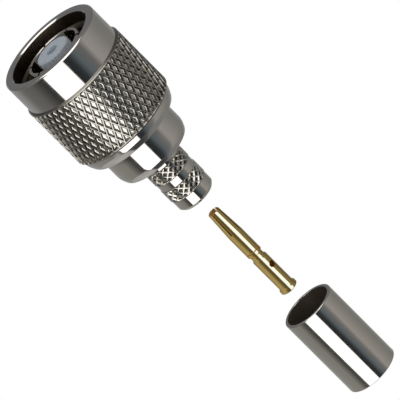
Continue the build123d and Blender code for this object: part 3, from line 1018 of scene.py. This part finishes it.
def tent_cloth(name, strength, zones, see_through=False):
    """A tent's glow. Each zone is (x where it starts, in metres, and its stops), and its ramp
    gives the colour at the angle around X, where 0 is towards -Y and a positive angle is below
    it. Zones fade into each other over 10 mm. A cloth that is see_through lets rays go on to
    the tent behind it."""
    fade = 0.01
    material = bpy.data.materials.new(name)
    material.use_nodes = True
    tree = material.node_tree
    tree.nodes.clear()
    place = add_node(tree, "ShaderNodeNewGeometry").outputs["Position"]
    apart = add_node(tree, "ShaderNodeSeparateXYZ", {0: place})
    down = add_node(tree, "ShaderNodeMath", {0: apart.outputs[2], 1: -1.0}, operation="MULTIPLY")
    near = add_node(tree, "ShaderNodeMath", {0: apart.outputs[1], 1: -1.0}, operation="MULTIPLY")
    bearing = add_node(
        tree, "ShaderNodeMath", {0: down.outputs[0], 1: near.outputs[0]}, operation="ARCTAN2"
    )
    share = add_node(
        tree, "ShaderNodeMapRange", {"Value": bearing.outputs[0], 1: -math.pi, 2: math.pi}
    )
    colour = None
    for start, stops in zones:
        cloth = add_node(tree, "ShaderNodeValToRGB", {0: share.outputs[0]})
        ramp_stops(cloth.color_ramp, stops)
        if colour is None:
            colour = cloth.outputs[0]
            continue
        along = add_node(
            tree, "ShaderNodeMapRange", {"Value": apart.outputs[0], 1: start, 2: start + fade}
        )
        joined = add_node(
            tree, "ShaderNodeMix",
            {0: along.outputs[0], 6: colour, 7: cloth.outputs[0]}, data_type="RGBA",
        )
        colour = joined.outputs[2]
    glow = add_node(tree, "ShaderNodeEmission", {"Color": colour, "Strength": strength})
    if see_through:
        clear = add_node(tree, "ShaderNodeBsdfTransparent", {0: (1, 1, 1, 1)})
        glow = add_node(tree, "ShaderNodeAddShader", {0: glow.outputs[0], 1: clear.outputs[0]})
    add_node(tree, "ShaderNodeOutputMaterial", {"Surface": glow.outputs[0]})
    return material


print("a stop at 0 degrees lies at", (0 + 180) / 360, "of its ramp")

# %% Brightness of the cloth
TENT_STRENGTH, PIN_STRENGTH = 2.2, 3.4


def level(red, green, blue, metal=NICKEL, strength=TENT_STRENGTH):
    """Wanted brightness on a metal as the tent's colour: the brightness over the metal's own
    colour and the tent's strength."""
    own = linear(metal)
    return (red / own[0] / strength, green / own[1] / strength, blue / own[2] / strength, 1.0)


def grey(value):
    """Wanted brightness of the cloth itself, for the gold's tent: the value over its strength."""
    return (value / PIN_STRENGTH, value / PIN_STRENGTH, value / PIN_STRENGTH, 1.0)


print("cloth for a fifth of white on nickel", [round(part, 3) for part in level(0.2, 0.2, 0.2)])

# %% [markdown]
# ## Zones of the tent
#
# The camera looks a little from the plug's front, so a straight wall shows the cloth beside the
# plug. A wall that leans back shows cloth further behind, and one that leans to the mouth shows
# cloth further in front. That is how nut, shoulder and edges get their different greys. One cloth
# for the whole tent would be simpler, but it would give all of them the same one. The front end
# of the tent is a white card, which the chamfers at the mouth show as bright lines.

# %% Stops beside and before the plug
white = (1, 1, 1, 1)
# The softbox with a black flag on each side, for every zone but the card and the last.
softbox = [
    (-26, level(0.085, 0.10, 0.105)), (-14, level(0.025, 0.03, 0.032)),
    (0.8, level(0.015, 0.015, 0.015)), (1.8, white), (50.5, white),
    (51.5, level(0.05, 0.05, 0.048)),
]
# Straight walls show this: the nut's front band, the stem and the ferrule.
beside = softbox + [
    (62, level(0.055, 0.052, 0.046)),
    (-180, level(0.24, 0.235, 0.22)), (-131, level(0.155, 0.15, 0.135)),
    (-100, level(0.19, 0.182, 0.16)), (-58, level(0.27, 0.25, 0.225)),
    (-45, level(0.145, 0.14, 0.13)), (86, level(0.19, 0.18, 0.16)),
    (131, level(0.21, 0.20, 0.18)), (180, level(0.24, 0.235, 0.22)),
]
# Edges and knurl flanks that lean a little to the mouth.
by_the_mouth = softbox + [
    (60, level(0.03, 0.03, 0.028)), (86, level(0.1, 0.098, 0.09)),
    (-180, level(0.24, 0.235, 0.22)), (-131, level(0.155, 0.15, 0.135)),
    (-100, level(0.18, 0.17, 0.155)), (-58, level(0.27, 0.25, 0.225)),
    (-45, level(0.12, 0.115, 0.11)), (112, level(0.125, 0.12, 0.112)),
    (131, level(0.2, 0.195, 0.185)), (180, level(0.24, 0.235, 0.22)),
]
# Edges that lean further to the mouth, such as the rounding of the nut's front edge.
before = softbox + [
    (62, level(0.055, 0.052, 0.046)),
    (-180, level(0.118, 0.114, 0.112)), (-120, level(0.118, 0.114, 0.112)),
    (-58, level(0.24, 0.225, 0.2)), (-45, level(0.145, 0.14, 0.13)),
    (86, level(0.16, 0.155, 0.14)), (120, level(0.118, 0.114, 0.112)),
    (180, level(0.118, 0.114, 0.112)),
]
print("stops beside the plug", len(beside), "and by its mouth", len(by_the_mouth))

# %% Stops behind the plug, and for the pin
# Walls that lean back a little, such as the nut's rear taper.
slanting = softbox + [
    (-180, level(0.24, 0.235, 0.22)), (-131, level(0.155, 0.15, 0.135)),
    (-100, level(0.19, 0.182, 0.16)), (-58, level(0.25, 0.235, 0.21)),
    (-45, level(0.145, 0.14, 0.13)), (62, level(0.3, 0.28, 0.26)),
    (100, level(0.34, 0.32, 0.3)), (150, level(0.28, 0.27, 0.25)),
    (180, level(0.24, 0.235, 0.22)),
]
# Faces that look well back, such as the shoulder's rear rounding.
behind = [
    (-180, level(0.2, 0.19, 0.18)), (-60, level(0.17, 0.165, 0.16)),
    (-38, level(0.15, 0.145, 0.14)), (-22, level(0.07, 0.07, 0.07)),
    (-5, level(0.045, 0.045, 0.045)), (45, level(0.045, 0.045, 0.045)),
    (58, level(0.36, 0.34, 0.32)), (100, level(0.36, 0.34, 0.32)),
    (150, level(0.28, 0.27, 0.25)), (180, level(0.2, 0.19, 0.18)),
]
# The white card at the front end.
card = [(-180, white), (180, white)]
# The gold's own cloth, with its softbox above the axis.
pin_white = level(1.03, 1.0, 0.8, GOLD, PIN_STRENGTH)
pin_stops = [
    (-180, grey(0.25)), (-105, grey(0.14)), (-70, grey(0.26)), (-54, grey(0.15)),
    (-47, grey(0.2)), (-46, pin_white), (-1, pin_white), (0, grey(0.15)),
    (22, grey(0.1)), (40, grey(0.16)), (66, grey(0.42)), (90, grey(0.44)), (118, grey(0.35)),
    (150, grey(0.26)), (180, grey(0.25)),
]
print("stops behind the plug", len(behind), "and around the pin", len(pin_stops))

# %% [markdown]
# The pin is lit from above where the other pieces are lit from below, as if it had been put down
# separately. Turning the lamps for it would spoil the rest, so it has a second tent just outside
# the first, and light linking decides which piece each tent lights.

# %% Hang the two tents
def lights_only(light, pieces, state):
    """Light linking: the light reaches only these pieces, or with EXCLUDE all others."""
    group = bpy.data.collections.new(light.name + "_pieces")
    light.light_linking.receiver_collection = group
    for number, piece in enumerate(pieces):
        group.objects.link(piece)
        group.collection_objects[number].light_linking.link_state = state


tent.data.materials.append(tent_cloth(
    "tent_cloth_and_softbox", TENT_STRENGTH,
    [(-1, card), (-0.448, before), (-0.03, by_the_mouth), (0.088, beside), (0.2, slanting),
     (0.335, behind)],
    see_through=True,
))
pin_tent.data.materials.append(
    tent_cloth("pin_tent_cloth_and_softbox", PIN_STRENGTH, [(-1, pin_stops)])
)
lights_only(tent, [centre_contact], "EXCLUDE")
lights_only(pin_tent, [centre_contact], "INCLUDE")
print("cloths", tent.active_material.name, pin_tent.active_material.name)

# %% [markdown]
# ## Room and floor
#
# The background is white, as a cut-out picture has it, yet the light on the plastic is a soft
# grey. A brighter room would give the white but burn out the pale parts. So the room is white
# only for rays from the camera and for those that metal or glass sends on, and matt surfaces are
# lit by a plain grey. The floor is a matt white board that adds some glow for the same rays, so
# it looks white and still takes the object's shadow.

# %% World
def shows_white(tree):
    """1 for camera, glossy and transmission rays and 0 for all others: the largest of three."""
    seen = add_node(tree, "ShaderNodeLightPath")
    both = add_node(
        tree, "ShaderNodeMath",
        {0: seen.outputs["Is Camera Ray"], 1: seen.outputs["Is Glossy Ray"]}, operation="MAXIMUM",
    )
    largest = add_node(
        tree, "ShaderNodeMath",
        {0: both.outputs[0], 1: seen.outputs["Is Transmission Ray"]}, operation="MAXIMUM",
    )
    return largest.outputs[0]


# A cool grey, a little under half of white, lights what is matt.
room_light = (0.40, 0.42, 0.45, 1)
world = bpy.data.worlds.new("white_room")
bpy.context.scene.world = world
world.use_nodes = True
tree = world.node_tree
tree.nodes.clear()
room = add_node(
    tree, "ShaderNodeMix", {0: shows_white(tree), 6: room_light, 7: white}, data_type="RGBA"
)
light = add_node(tree, "ShaderNodeBackground", {"Color": room.outputs[2], "Strength": 1.0})
add_node(tree, "ShaderNodeOutputWorld", {"Surface": light.outputs[0]})
print("world", world.name)

# %% Floor
floor_half, floor_z, floor_glow = 3, -0.3, 0.6
floor_mesh = bpy.data.meshes.new("floor")
floor_mesh.from_pydata(
    [(-floor_half, -floor_half, floor_z), (floor_half, -floor_half, floor_z),
     (floor_half, floor_half, floor_z), (-floor_half, floor_half, floor_z)],
    [], [(0, 1, 2, 3)],
)
floor = bpy.data.objects.new("floor", floor_mesh)
bpy.context.scene.collection.objects.link(floor)
# Matt white board: no highlight at all, so that only the shadow tells it from the background.
floor_paint, tree, shader = new_material("matt_white_board")
lift = add_node(
    tree, "ShaderNodeMath", {0: shows_white(tree), 1: floor_glow}, operation="MULTIPLY"
)
shader.inputs["Base Color"].default_value = linear("#F4F4F4")
shader.inputs["Roughness"].default_value = 0.9
shader.inputs["Emission Color"].default_value = white
tree.links.new(lift.outputs[0], shader.inputs["Emission Strength"])
floor.data.materials.append(floor_paint)
print("floor at", floor_mesh.vertices[0].co.z)

# %% [markdown]
# ## Camera
#
# The photograph was taken with a long lens, about 21 degrees from square to the axis on the
# mouth's side, and the picture was turned so that the plug runs from the upper left to the lower
# right. The camera could be aimed with a constraint, but a matrix with its three directions says
# the same without a second object: to the right, up, and back towards the camera.

# %% Camera
picture_pixels, sensor_mm = 400, 36
lens_pixels, swing, distance = 8368.6, math.radians(20.664), 1.0153
# The view aims 18 mm behind the origin and 1.2 pixels below the axis.
aim_x, aim_pixels = 0.018106, 1.2
along = np.array([math.sin(swing), math.cos(swing), 0.0])
flat_right = np.array([math.cos(swing), -math.sin(swing), 0.0])
upright = np.array([0.0, 0.0, 1.0])
right, up = (flat_right + upright) / math.sqrt(2), (upright - flat_right) / math.sqrt(2)
aim = np.array([aim_x, 0.0, -aim_pixels / lens_pixels * distance])
place = aim - along * distance
camera_data = bpy.data.cameras.new("camera")
camera_data.sensor_width = sensor_mm
camera_data.lens = lens_pixels / picture_pixels * sensor_mm
camera_data.clip_start, camera_data.clip_end = 0.1, 20
camera = bpy.data.objects.new("camera", camera_data)
bpy.context.scene.collection.objects.link(camera)
camera.matrix_world = Matrix([
    (right[0], up[0], -along[0], place[0]),
    (right[1], up[1], -along[1], place[1]),
    (right[2], up[2], -along[2], place[2]),
    (0, 0, 0, 1),
])
bpy.context.scene.camera = camera
bpy.context.scene.view_settings.view_transform = "Standard"
print("lens", round(camera_data.lens, 1), "mm")

# %% [markdown]
